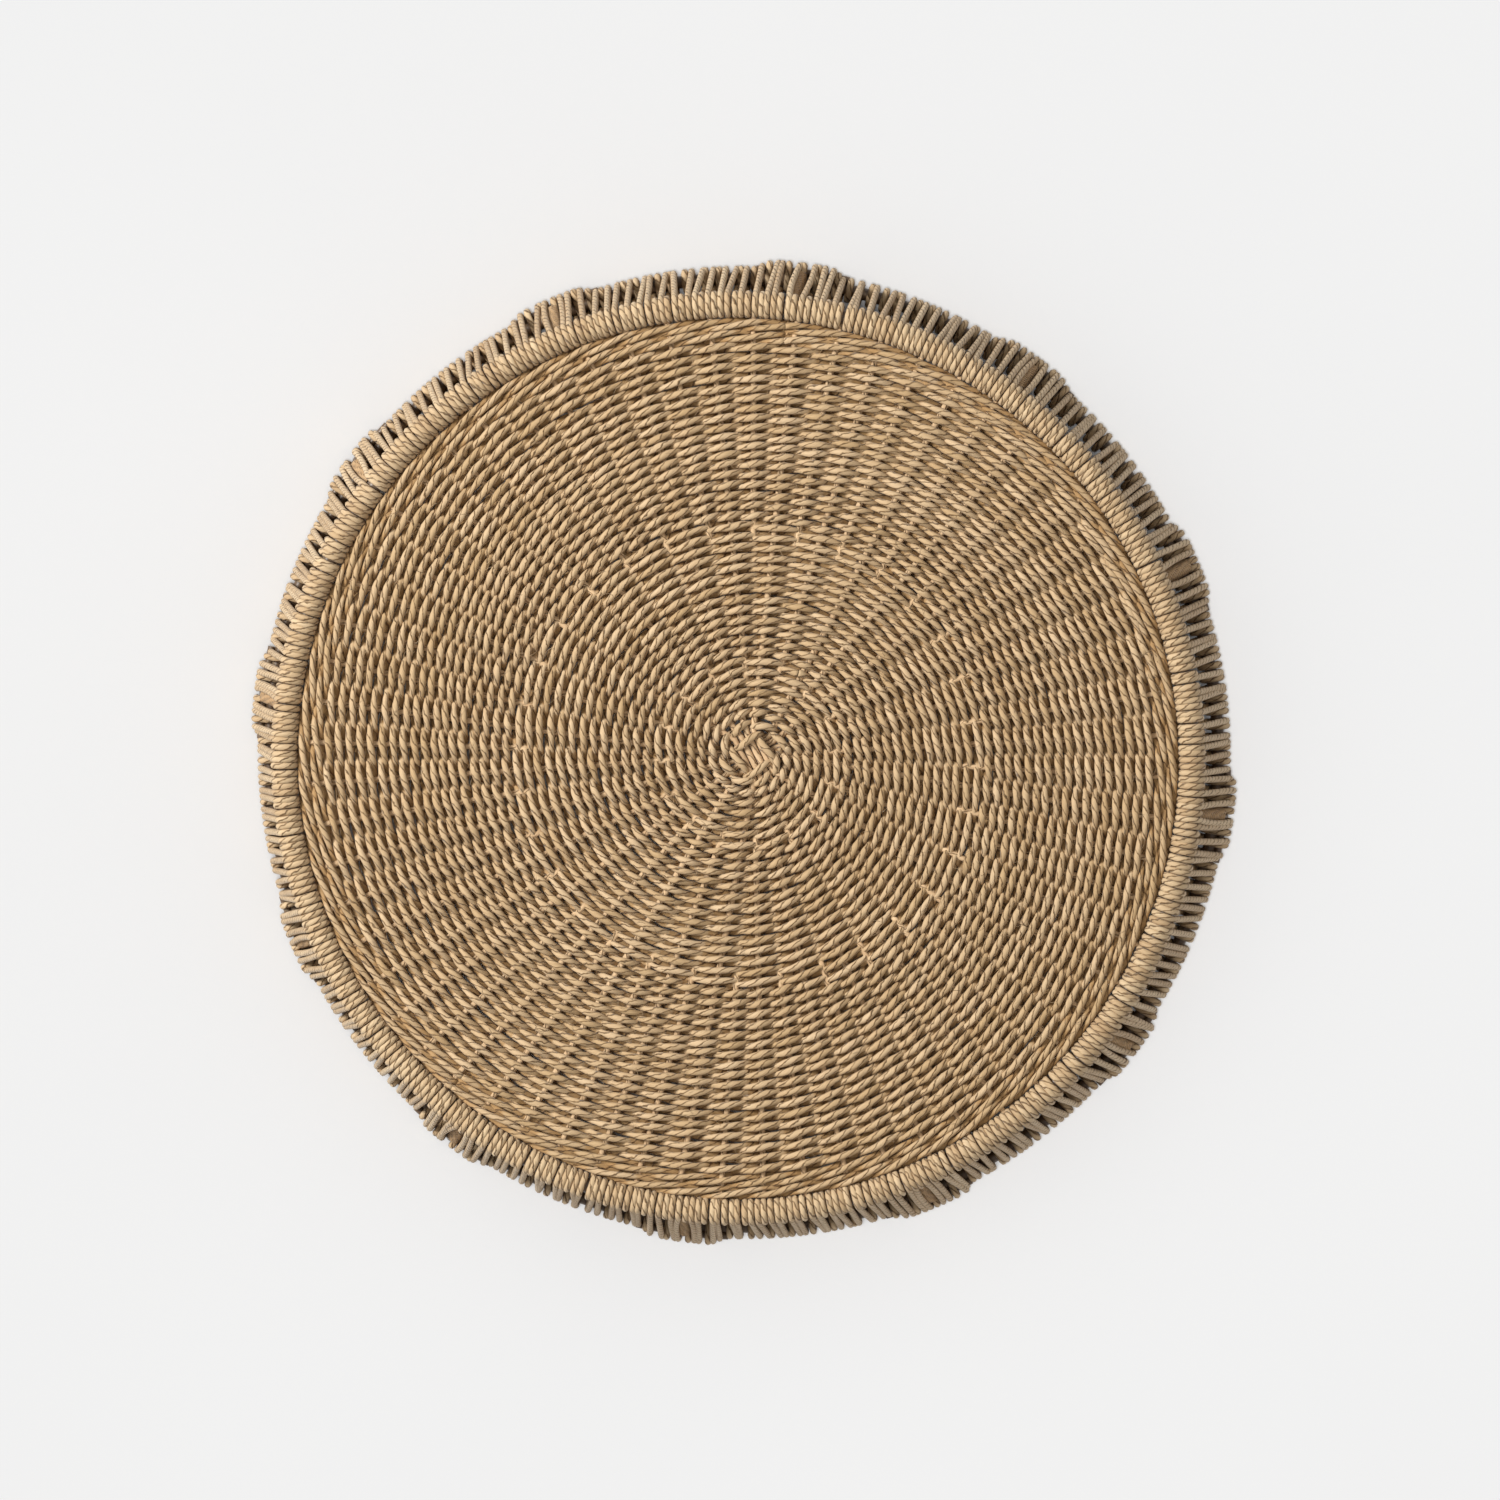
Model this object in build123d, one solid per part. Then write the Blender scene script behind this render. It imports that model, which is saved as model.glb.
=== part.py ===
"""Round seat pad woven from twisted cord over a frame of two steel hoops.

Millimetres, +Z up. The origin is at the middle of the underside, and the woven
face looks up. A wire frame holds the pad: an upper hoop, a larger lower hoop,
and twelve struts between them. Eight base sticks cross at the middle of the
face, and spokes are added between them twice on the way out. Cord is woven
around the spokes, wrapped around both hoops, and laced from one to the other.
"""
from build123d import *
from math import cos, sin, radians
import os

# ---- frame -----------------------------------------------------------------
PAD_HEIGHT = 50.0          # underside of the lower wrap to the top of the rim wrap
RIM_RADIUS = 184.0         # centre line of the upper hoop
RIM_ROD = 6.0              # diameter of the upper hoop's rod
SKIRT_FLARE = 10.6         # how much wider the lower hoop's centre line is than the upper one's
BASE_ROD = 5.0             # diameter of the lower hoop's rod
STRUT_COUNT = 12
STRUT_FIRST = 22.8         # direction of the first strut, degrees
STRUT_ROD = 4.0            # diameter of a strut
SHOE_ROD = 3.2             # diameter of the short bar welded across a strut's foot
SHOE_SPAN = 11.0           # length of that bar along the lower hoop, degrees

# ---- cords -----------------------------------------------------------------
WRAP_CORD = 2.8            # cord around both hoops and in the lacing
STRUT_CORD = 1.2           # thin cord wound around each strut
WRAP_FLAT = 0.5            # how far the lower wrap is pressed flat where it stands
WEAVE_CORD = 3.0           # thickness of the cord woven over and under the spokes

# ---- woven face ------------------------------------------------------------
STICK = 2.6                # diameter of base sticks and spokes
BASE_STICKS = 8
SPOKES_AT_RIM = 64
SPOKE_FIRST = 14.7         # direction of the first base stick's end, degrees
STICK_BEND = 12.0          # bend radius where a base stick fans out
CROSS_REACH = 9.0          # half of the straight length where the sticks cross
CENTRE_X = 7.0             # the crossing is a little off the middle of the rim
CENTRE_Y = 2.0
BINDING_RADIUS = 12.0      # rows that bind the crossing end here
INNER_RADIUS = 37.0        # the first spokes are added here
MIDDLE_RADIUS = 94.0       # the second spokes are added here
BORDER_WIDTH = 9.0         # the last two rows, against the rim
SPOKE_TUCK = 6.0           # how far an added spoke is pushed into the rows inside it

# ---- clearances ------------------------------------------------------------
RIM_GAP = 0.3              # woven face to rim wrap
CROSS_GAP = 0.3            # crossing sticks to the rows that bind them
STICK_GAP = 0.2            # between neighbouring sticks where they cross
SHOE_COVER = 1.0           # the lower wrap swells this far past each end of a shoe, degrees
WELD_BITE = 1.0            # how far a rod or stick runs on before it is trimmed to fit
WELD_SINK = 0.3            # a shoe is filed to seat this far around the lower hoop
LACING_START = 2.5         # lacing leaves each wrap this far past its tangent point

# ---- worked out ------------------------------------------------------------
BASE_RADIUS = RIM_RADIUS + SKIRT_FLARE
RIM_WRAP_R = RIM_ROD / 2 + WRAP_CORD
BASE_WRAP_R = BASE_ROD / 2 + WRAP_CORD
SHOE_WRAP_R = SHOE_ROD / 2 + WRAP_CORD
RIM_Z = PAD_HEIGHT - RIM_WRAP_R
BASE_Z = BASE_WRAP_R - WRAP_FLAT
SHOE_RADIUS = BASE_RADIUS + BASE_ROD / 2 + SHOE_ROD / 2 - WELD_SINK
SHOE_WRAP_SPAN = SHOE_SPAN + 2 * SHOE_COVER
FACE_RADIUS = RIM_RADIUS - RIM_WRAP_R - RIM_GAP
WEAVE_RADIUS = FACE_RADIUS - BORDER_WIDTH
STICK_END = RIM_RADIUS - RIM_ROD / 2 + WELD_BITE
FACE_THICK = STICK + 2 * WEAVE_CORD
SPOKE_STEP = 360 / SPOKES_AT_RIM
STICK_FAN = 360 / (2 * BASE_STICKS)
GROUP = BASE_STICKS // 2
STICK_PITCH = STICK + STICK_GAP
CROSS_TURN = SPOKE_FIRST + STICK_FAN / 2


def on_circle(radius, degrees_round, z=0.0):
    """A point at a radius and a direction from the pad's own axis."""
    turn = radians(degrees_round)
    return Vector(radius * cos(turn), radius * sin(turn), z)


def weave_centre(radius):
    """The rows' centre drifts from the crossing to the rim's middle as they grow."""
    share = 1 - radius / FACE_RADIUS
    return Vector(CENTRE_X * share, CENTRE_Y * share, RIM_Z)


def rod(start, end, diameter):
    """A straight round rod between two points."""
    run = end - start
    return Plane(start, z_dir=run) * Cylinder(
        diameter / 2, run.length, align=(Align.CENTER, Align.CENTER, Align.MIN))


def hoop(radius, z, minor):
    return Pos(0, 0, z) * Torus(radius, minor)


def section(radius, z, minor):
    """A round section of a hoop, cut where the hoop crosses the +X direction."""
    return Plane.XZ * Pos(radius, z) * Circle(minor)


def arc_bar(profile, span):
    """A section carried along the hoop for a short way, centred on +X."""
    return Rot(0, 0, -span / 2) * revolve(profile, Axis.Z, span)


def around(shape, number):
    """The shape turned to the direction of one strut."""
    return Rot(0, 0, STRUT_FIRST + number * 360 / STRUT_COUNT) * shape


# ---- wire frame ------------------------------------------------------------
def post(diameter=STRUT_ROD):
    """The strut's straight run, from the upper hoop's middle to its shoe's middle."""
    top = Vector(RIM_RADIUS, 0, RIM_Z)
    foot = Vector(SHOE_RADIUS, 0, BASE_Z)
    return rod(top, foot, diameter)


def shoe():
    """The short bar across a strut's foot, hollowed to seat around the lower hoop."""
    bar = arc_bar(section(SHOE_RADIUS, BASE_Z, SHOE_ROD / 2), SHOE_SPAN)
    return bar - hoop(BASE_RADIUS, BASE_Z, BASE_ROD / 2)


def shoe_swell():
    """The outer shape of the lower wrap where it rides over a shoe."""
    return arc_bar(section(SHOE_RADIUS, BASE_Z, SHOE_WRAP_R), SHOE_WRAP_SPAN)


def strut():
    """A strut trimmed to seat against both hoops, with its shoe welded across the foot."""
    bare = post() - hoop(RIM_RADIUS, RIM_Z, RIM_ROD / 2) - hoop(BASE_RADIUS, BASE_Z, BASE_ROD / 2)
    return bare + shoe()


def strut_winding():
    """Thin cord around the strut, from the rim wrap to the lower wrap."""
    sleeve = post(STRUT_ROD + 2 * STRUT_CORD) - post()
    sleeve -= hoop(RIM_RADIUS, RIM_Z, RIM_WRAP_R)
    return sleeve - hoop(BASE_RADIUS, BASE_Z, BASE_WRAP_R) - shoe_swell()


# ---- sticks and spokes -----------------------------------------------------
def base_stick(group, place):
    """A stick that crosses the middle in its group and fans out at both ends."""
    heading = CROSS_TURN + GROUP * STICK_FAN * (1 - group)
    step = place - (GROUP - 1) / 2
    z = RIM_Z + STICK * (0.5 - group)
    along = on_circle(1, heading)
    aside = on_circle(1, heading + 90)
    middle = Vector(CENTRE_X, CENTRE_Y, z) + aside * (step * STICK_PITCH)
    path = FilletPolyline(
        on_circle(STICK_END, heading + step * STICK_FAN, z),
        middle + along * CROSS_REACH,
        middle - along * CROSS_REACH,
        on_circle(STICK_END, heading + 180 - step * STICK_FAN, z),
        radius=STICK_BEND)
    end = Plane(path @ 0, z_dir=path % 0) * Circle(STICK / 2)
    return sweep(end, path=path)


def spoke(direction, start_radius):
    """A straight spoke from inside the rows out to the upper hoop."""
    inner = weave_centre(start_radius) + on_circle(start_radius, direction)
    outer = on_circle(STICK_END, direction, RIM_Z)
    return rod(inner, outer, STICK)


def trimmed(stick):
    """A stick or spoke with its ends hollowed to seat against the upper hoop."""
    return stick - hoop(RIM_RADIUS, RIM_Z, RIM_ROD / 2)


def spokes(first, every, start_radius):
    count = SPOKES_AT_RIM // every
    turns = [SPOKE_FIRST + (first + every * k) * SPOKE_STEP for k in range(count)]
    return [spoke(turn, start_radius) for turn in turns]


# ---- woven face ------------------------------------------------------------
def rows(inner_radius, outer_radius, through):
    """A flat ring of woven rows, with the sticks' channels cut through it."""
    disc = Pos(weave_centre(outer_radius)) * Cylinder(outer_radius, FACE_THICK)
    disc -= Pos(weave_centre(inner_radius)) * Cylinder(inner_radius, FACE_THICK)
    return disc - through


def binding(through):
    """The rows around the crossing, open over the bare sticks in the middle."""
    window = GROUP * STICK_PITCH + 2 * CROSS_GAP
    disc = Pos(weave_centre(BINDING_RADIUS)) * Cylinder(BINDING_RADIUS, FACE_THICK)
    gap = Pos(CENTRE_X, CENTRE_Y, RIM_Z) * Rot(0, 0, CROSS_TURN) * Box(window, window, FACE_THICK)
    return disc - gap - through


def border(through):
    ring = Cylinder(FACE_RADIUS, FACE_THICK) - Cylinder(WEAVE_RADIUS, FACE_THICK)
    return Pos(0, 0, RIM_Z) * ring - through


def outer_rows(through):
    disc = Pos(0, 0, RIM_Z) * Cylinder(WEAVE_RADIUS, FACE_THICK)
    disc -= Pos(weave_centre(MIDDLE_RADIUS)) * Cylinder(MIDDLE_RADIUS, FACE_THICK)
    return disc - through


# ---- wraps and lacing ------------------------------------------------------
def in_bays(profile, through):
    """A section carried from strut to strut, in one stretch for each bay."""
    bay = 360 / STRUT_COUNT
    stretch = Rot(0, 0, bay / 2) * arc_bar(profile, bay)
    return Compound([around(stretch, k) - through for k in range(STRUT_COUNT)])


def rim_wrap(through):
    """The upper wrap, which the spokes and the struts pass through."""
    profile = section(RIM_RADIUS, RIM_Z, RIM_WRAP_R) - section(RIM_RADIUS, RIM_Z, RIM_ROD / 2)
    return in_bays(profile, through)


def bottom_wrap(posts):
    """The lower wrap, which swells over each shoe and is pressed flat underneath."""
    wrap = hoop(BASE_RADIUS, BASE_Z, BASE_WRAP_R)
    wrap += [around(shoe_swell(), k) for k in range(STRUT_COUNT)]
    reach = 2 * (SHOE_RADIUS + SHOE_WRAP_R)
    wrap -= Box(reach, reach, WRAP_CORD, align=(Align.CENTER, Align.CENTER, Align.MAX))
    wrap -= hoop(BASE_RADIUS, BASE_Z, BASE_ROD / 2)
    bar = arc_bar(section(SHOE_RADIUS, BASE_Z, SHOE_ROD / 2), SHOE_SPAN)
    wrap -= [around(bar, k) for k in range(STRUT_COUNT)]
    return wrap - posts


def lacing(side, through):
    """One wall of lacing between the wraps: side +1 is outside, -1 is inside."""
    run = Vector(BASE_RADIUS - RIM_RADIUS, 0, BASE_Z - RIM_Z)
    along = run.normalized()
    out = Vector(-along.Z, 0, along.X) * side
    top = Vector(RIM_RADIUS, 0, RIM_Z) + along * LACING_START
    low = Vector(BASE_RADIUS, 0, BASE_Z) - along * LACING_START
    corners = [
        top + out * RIM_WRAP_R,
        low + out * BASE_WRAP_R,
        low + out * (BASE_WRAP_R - WRAP_CORD),
        top + out * (RIM_WRAP_R - WRAP_CORD),
    ]
    wall = make_face(Polyline(*corners, close=True))
    wall -= section(RIM_RADIUS, RIM_Z, RIM_WRAP_R)
    wall -= section(BASE_RADIUS, BASE_Z, BASE_WRAP_R)
    return in_bays(wall, through)


# ---- build and write -------------------------------------------------------
def build():
    nodes = {}
    nodes["top_hoop"] = hoop(RIM_RADIUS, RIM_Z, RIM_ROD / 2)
    nodes["bottom_hoop"] = hoop(BASE_RADIUS, BASE_Z, BASE_ROD / 2)
    for k in range(STRUT_COUNT):
        nodes[f"strut_{k + 1:02d}"] = around(strut(), k)
        nodes[f"strut_winding_{k + 1:02d}"] = around(strut_winding(), k)

    sticks = [base_stick(g, p) for g in range(2) for p in range(GROUP)]
    first_added = spokes(2, 4, INNER_RADIUS - SPOKE_TUCK)
    second_added = spokes(1, 2, MIDDLE_RADIUS - SPOKE_TUCK)
    rods = sticks + first_added + second_added
    for number, stick in enumerate(sticks, start=1):
        nodes[f"base_stick_{number}"] = trimmed(stick)
    nodes["first_added_spokes"] = Compound([trimmed(one) for one in first_added])
    nodes["second_added_spokes"] = Compound([trimmed(one) for one in second_added])

    nodes["centre_binding"] = binding(sticks)
    nodes["inner_weave"] = rows(BINDING_RADIUS, INNER_RADIUS, sticks + first_added)
    nodes["middle_weave"] = rows(INNER_RADIUS, MIDDLE_RADIUS, rods)
    nodes["outer_weave"] = outer_rows(rods)
    nodes["border_rows"] = border(rods)

    posts = [around(post(), k) for k in range(STRUT_COUNT)]
    wound = [around(post(STRUT_ROD + 2 * STRUT_CORD), k) for k in range(STRUT_COUNT)]
    swells = [around(shoe_swell(), k) for k in range(STRUT_COUNT)]
    nodes["rim_wrap"] = rim_wrap(rods + posts)
    nodes["bottom_wrap"] = bottom_wrap(posts)
    nodes["outer_lacing"] = lacing(1, wound + swells)
    nodes["inner_lacing"] = lacing(-1, wound)
    return nodes


def write(nodes):
    os.makedirs("parts", exist_ok=True)
    for name, shape in nodes.items():
        export_step(shape, f"parts/{name}.step")
        print(f"{name}: {len(shape.solids())} solids, {shape.volume:.0f} mm3")


write(build())
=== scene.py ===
# %% [markdown]
# # A round woven seat pad
#
# The pad is basketry on a wire frame. Twisted paper cord is woven over fanned
# sticks to make the round face. More cord is wrapped tightly around an upper
# hoop, laced down to a wider lower hoop, and wrapped around that one too.
#
# Every cord here is a real tube of mesh that follows the path the maker's hand
# would take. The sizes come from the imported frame, so each cord lies where the
# plain solid that it replaces lies.

# %% Load the frame
import math

import bpy
import numpy as np
from mathutils import Matrix, Vector


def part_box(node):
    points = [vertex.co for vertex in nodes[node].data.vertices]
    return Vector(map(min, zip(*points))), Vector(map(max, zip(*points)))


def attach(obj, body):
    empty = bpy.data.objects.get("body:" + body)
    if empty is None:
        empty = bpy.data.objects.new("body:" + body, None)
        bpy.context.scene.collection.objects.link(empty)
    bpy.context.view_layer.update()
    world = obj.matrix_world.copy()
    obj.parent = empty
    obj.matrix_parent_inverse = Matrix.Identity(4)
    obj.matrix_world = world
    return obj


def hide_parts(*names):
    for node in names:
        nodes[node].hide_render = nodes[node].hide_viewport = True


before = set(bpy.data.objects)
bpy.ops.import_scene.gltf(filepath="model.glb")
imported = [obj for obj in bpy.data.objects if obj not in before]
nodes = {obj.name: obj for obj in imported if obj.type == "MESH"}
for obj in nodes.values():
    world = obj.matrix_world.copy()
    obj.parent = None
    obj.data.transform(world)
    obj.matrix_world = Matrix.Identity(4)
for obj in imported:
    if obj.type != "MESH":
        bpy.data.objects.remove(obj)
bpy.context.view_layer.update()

MM = 0.001
print("nodes in the frame:", len(nodes))

# %% [markdown]
# ## Measuring the frame
#
# Each radius and height is read from the box of the plain solid it belongs to.
# A ring's half width gives its outer radius, and its height gives its rod.


# %% Read the sizes
def box_of(node):
    low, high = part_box(node)
    return np.array(low), np.array(high)


def ring_size(node):
    """Centre line radius, height of the centre line, and section radius of a round hoop."""
    low, high = box_of(node)
    section = (high[2] - low[2]) / 2
    return (high[0] - low[0]) / 2 - section, (high[2] + low[2]) / 2, section


RIM_R, RIM_Z, RIM_ROD = ring_size("top_hoop")
BASE_R, BASE_Z, BASE_ROD = ring_size("bottom_hoop")
RIM_WRAP = ring_size("rim_wrap")[2]
WRAP_CORD = RIM_WRAP - RIM_ROD
SWELL_R = box_of("bottom_wrap")[1][0]
SHOE_ROD = BASE_Z - box_of("strut_01")[0][2]
SHOE_R = SWELL_R - SHOE_ROD - WRAP_CORD
FACE_R = box_of("border_rows")[1][0]
WEAVE_R = box_of("outer_weave")[1][0]
FACE_HIGH = (box_of("outer_weave")[1][2] - box_of("outer_weave")[0][2]) / 2
STICK_R = (box_of("first_added_spokes")[1][2] - box_of("first_added_spokes")[0][2]) / 2
print("rim radius mm", round(RIM_R / MM, 1), "lower hoop mm", round(BASE_R / MM, 1))
print("cord mm", round(WRAP_CORD / MM, 2), "face radius mm", round(FACE_R / MM, 1))


def middle_and_radius(node):
    low, high = box_of(node)
    return (low[:2] + high[:2]) / 2, (high[0] - low[0]) / 2


BIND_AT, BIND_R = middle_and_radius("centre_binding")
INNER_R = middle_and_radius("inner_weave")[1]
MIDDLE_R = middle_and_radius("middle_weave")[1]
CROSS_AT = BIND_AT / (1 - BIND_R / FACE_R)
print("the crossing lies off the rim's middle by mm", np.round(CROSS_AT / MM, 2))

low, high = box_of("strut_01")
STRUTS = 12
STRUT_AT = math.atan2(low[1] + high[1], low[0] + high[0])
BAY = 2 * math.pi / STRUTS
print("first strut at degrees", round(math.degrees(STRUT_AT), 1), "shoe mm", round(SHOE_R / MM, 1))

# %% [markdown]
# ## Where the sticks point
#
# Eight sticks cross in the middle, four over four. Their sixteen ends fan out
# to even directions. Sixteen more spokes are pushed in between them on the way
# out, then thirty-two more. The crossing isn't quite in the middle of the rim,
# as on most hand-woven pieces, so every ring of rows drifts back towards the
# rim's middle as it grows. One function holds that drift for all the cords.

# %% Directions and the drift
SPOKES = 64
STEP = 2 * math.pi / SPOKES
FAN = 4 * STEP
high = box_of("base_stick_6")[1]
FIRST = math.asin((high[1] - STICK_R) / (RIM_R - RIM_ROD))
LOWER_TURN = FIRST + FAN / 2
CROSS_TURN = LOWER_TURN + math.pi / 2


def drift(radius):
    """Offset of the rows' centre at a given radius."""
    share = 1 - np.asarray(radius) / FACE_R
    return CROSS_AT[0] * share, CROSS_AT[1] * share


def on_face(radius, turn, z):
    """Points on the woven face from a radius, a direction and a height."""
    dx, dy = drift(radius)
    return np.stack([dx + radius * np.cos(turn), dy + radius * np.sin(turn), z + 0 * radius], axis=-1)


print("first stick points to degrees", round(math.degrees(FIRST), 1))
print("upper sticks cross along degrees", round(math.degrees(CROSS_TURN), 1))

# %% [markdown]
# ## A hand-made line isn't straight
#
# Cord pulled by hand wanders a little. Smooth seeded noise along each cord
# moves it by a fraction of a millimetre, and the same script always gives the
# same pad.

# %% Seeded wander
rng = np.random.default_rng(7)


def wander(length, spacing, size):
    """Smooth random values for points at the given distances along a cord."""
    knots = rng.normal(0, size, int(length[-1] / spacing) + 4)
    at = length / spacing
    whole = at.astype(int)
    part = at - whole
    ease = part * part * (3 - 2 * part)
    return knots[whole] * (1 - ease) + knots[whole + 1] * ease


def signed_power(value, power):
    return np.sign(value) * np.abs(value) ** power


def smoothstep(low, high, value):
    part = np.clip((value - low) / (high - low), 0, 1)
    return part * part * (3 - 2 * part)


# %% [markdown]
# ## Turning a line into a cord
#
# Blender can bevel a curve, but a bevel keeps one section all the way. A woven
# cord is flat and wide where it lies over a stick, and narrow where it squeezes
# past its partner. So the tube is built ring by ring: at each point the section
# has its own width and thickness, and three shallow lobes turn along the cord
# as the twisted paper does. Numpy makes all the rings of a piece at once, and
# the mesh gets a map with the distance along the cord and the way around it,
# which the paper's finish is drawn from.


# %% The cord builder
class Skein:
    """Collects cords and makes one mesh of them."""

    def __init__(self, name, sides=10, lobe=0.05, lay=0.016):
        self.name = name
        self.sides = sides
        self.lobe = lobe
        self.lay = lay
        self.points = []
        self.maps = []
        self.tints = []
        self.shade_free_rings = []
        self.starts = []
        self.count = 0

    def add(self, line, up, width, thick, tint, shade_free=1.0):
        """A cord along a line. up points across its thickness, and sizes are full sizes.

        The last argument says how clear of painted shade each point is, from 0 to 1: lengths that dive
        under other cords, and the underside of every section, get painted shade.
        """
        line = np.asarray(line, float)
        total = len(line)
        run = np.gradient(line, axis=0)
        run /= np.linalg.norm(run, axis=1)[:, None]
        up = np.broadcast_to(np.asarray(up, float), line.shape)
        up = up - (up * run).sum(1)[:, None] * run
        up /= np.linalg.norm(up, axis=1)[:, None]
        side = np.cross(run, up)
        steps = np.linalg.norm(np.diff(line, axis=0), axis=1)
        length = np.concatenate([[0], np.cumsum(steps)]) + rng.uniform(0, self.lay)
        around = 2 * math.pi * np.arange(self.sides) / self.sides
        turn = 2 * math.pi * length / self.lay
        lobes = 1 + self.lobe * np.cos(3 * (around[None, :] - turn[:, None]))
        wide = (np.broadcast_to(width, total) / 2)[:, None] * np.cos(around) * lobes
        high = (np.broadcast_to(thick, total) / 2)[:, None] * np.sin(around) * lobes
        rings = line[:, None, :] + wide[..., None] * side[:, None, :] + high[..., None] * up[:, None, :]
        self.points.append(rings.reshape(-1, 3))
        self.maps.append(length)
        self.tints.append(np.full(total * self.sides, tint))
        # Painted shade: the underside of each section is marked darker than its upper side, scaled by
        # the last argument.
        facing = np.broadcast_to(0.5 + 0.5 * np.sin(around), (total, self.sides))
        self.shade_free_rings.append((facing * np.broadcast_to(shade_free, total)[:, None]).ravel())
        self.starts.append((self.count, total))
        self.count += total * self.sides

    def mesh(self):
        sides = self.sides
        quads, maps, caps = [], [], []
        next_side = (np.arange(sides) + 1) % sides
        for (start, total), length in zip(self.starts, self.maps):
            ring = start + np.arange(total - 1)[:, None] * sides
            here = ring + np.arange(sides)
            there = ring + next_side
            quads.append(np.stack([here, there, there + sides, here + sides], -1).reshape(-1, 4))
            u0 = np.broadcast_to(length[:-1, None], here.shape)
            u1 = np.broadcast_to(length[1:, None], here.shape)
            v0 = np.broadcast_to(np.arange(sides) / sides, here.shape)
            v1 = v0 + 1 / sides
            corners = [np.stack(p, -1) for p in ((u0, v0), (u0, v1), (u1, v1), (u1, v0))]
            maps.append(np.stack(corners, -2).reshape(-1, 2))
            caps.append(start + np.arange(sides)[::-1])
            caps.append(start + (total - 1) * sides + np.arange(sides))
        points = np.concatenate(self.points)
        quads = np.concatenate(quads)
        caps = np.array(caps)
        corners = np.concatenate([quads.ravel(), caps.ravel()])
        sizes = np.concatenate([np.full(len(quads), 4), np.full(len(caps), sides)])
        mesh = bpy.data.meshes.new(self.name)
        mesh.vertices.add(len(points))
        mesh.vertices.foreach_set("co", points.ravel())
        mesh.loops.add(len(corners))
        mesh.loops.foreach_set("vertex_index", corners)
        mesh.polygons.add(len(sizes))
        mesh.polygons.foreach_set("loop_start", np.concatenate([[0], np.cumsum(sizes)[:-1]]))
        mesh.polygons.foreach_set("loop_total", sizes)
        mesh.polygons.foreach_set("use_smooth", np.ones(len(sizes), bool))
        along = mesh.uv_layers.new(name="along_cord")
        flat = np.zeros((len(corners), 2))
        flat[: len(quads) * 4] = np.concatenate(maps)
        along.data.foreach_set("uv", flat.ravel())
        tint = mesh.attributes.new("tint", "FLOAT", "POINT")
        tint.data.foreach_set("value", np.concatenate(self.tints))
        wear_and_painted_shade = mesh.attributes.new("wear_and_painted_shade", "FLOAT", "POINT")
        wear_and_painted_shade.data.foreach_set("value", np.concatenate(self.shade_free_rings))
        mesh.update(calc_edges=True)
        mesh.validate()
        return mesh

    def make(self, material, slot, *stands_for):
        """The finished piece, riding on the frame and standing for its plain solids."""
        piece = bpy.data.objects.new(self.name, self.mesh())
        bpy.context.scene.collection.objects.link(piece)
        piece.data.materials.append(material)
        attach(piece, "root")
        if stands_for:
            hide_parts(*stands_for)
        print(self.name, "cords", len(self.starts), "faces", len(piece.data.polygons))
        return piece


# %% [markdown]
# ## The finish of twisted paper cord
#
# The cord is a strip of kraft paper twisted tightly, or dried grass rolled the
# same way. Up close it has three things: slender dark lines where the twist
# folds under itself, which are painted shade in the grooves, fine fibres that run
# with the twist, and patches that are paler or browner from length to length.
# All three are drawn from the map along the cord. The underside of each cord and
# the lengths that dive under other cords get painted shade as well. The colour
# also changes a little from cord to cord and over the whole pad. The surface is
# dry, so it is rough, with a faint sheen.


# %% The cord's finish
def link(tree, source, output, target, socket):
    tree.links.new(source.outputs[output], target.inputs[socket])


def math_node(tree, operation, first, second=None):
    """A math node. Each input is a number or a (node, output) pair."""
    node = tree.nodes.new("ShaderNodeMath")
    node.operation = operation
    for index, value in enumerate((first, second)):
        if isinstance(value, tuple):
            link(tree, value[0], value[1], node, index)
        elif value is not None:
            node.inputs[index].default_value = value
    return node


def noise_node(tree, vector, scale, detail):
    node = tree.nodes.new("ShaderNodeTexNoise")
    node.inputs["Scale"].default_value = scale
    node.inputs["Detail"].default_value = detail
    link(tree, vector[0], vector[1], node, "Vector")
    return node


def mix_colour(tree, amount, first, second, blend="MIX"):
    """A colour mix. Each colour is a tuple of three numbers or a (node, output) pair."""
    node = tree.nodes.new("ShaderNodeMix")
    node.data_type = "RGBA"
    node.blend_type = blend
    if isinstance(amount, tuple):
        link(tree, amount[0], amount[1], node, 0)
    else:
        node.inputs[0].default_value = amount
    for socket, value in ((6, first), (7, second)):
        if isinstance(value[0], float):
            node.inputs[socket].default_value = (*value, 1.0)
        else:
            link(tree, value[0], value[1], node, socket)
    return node


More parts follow.
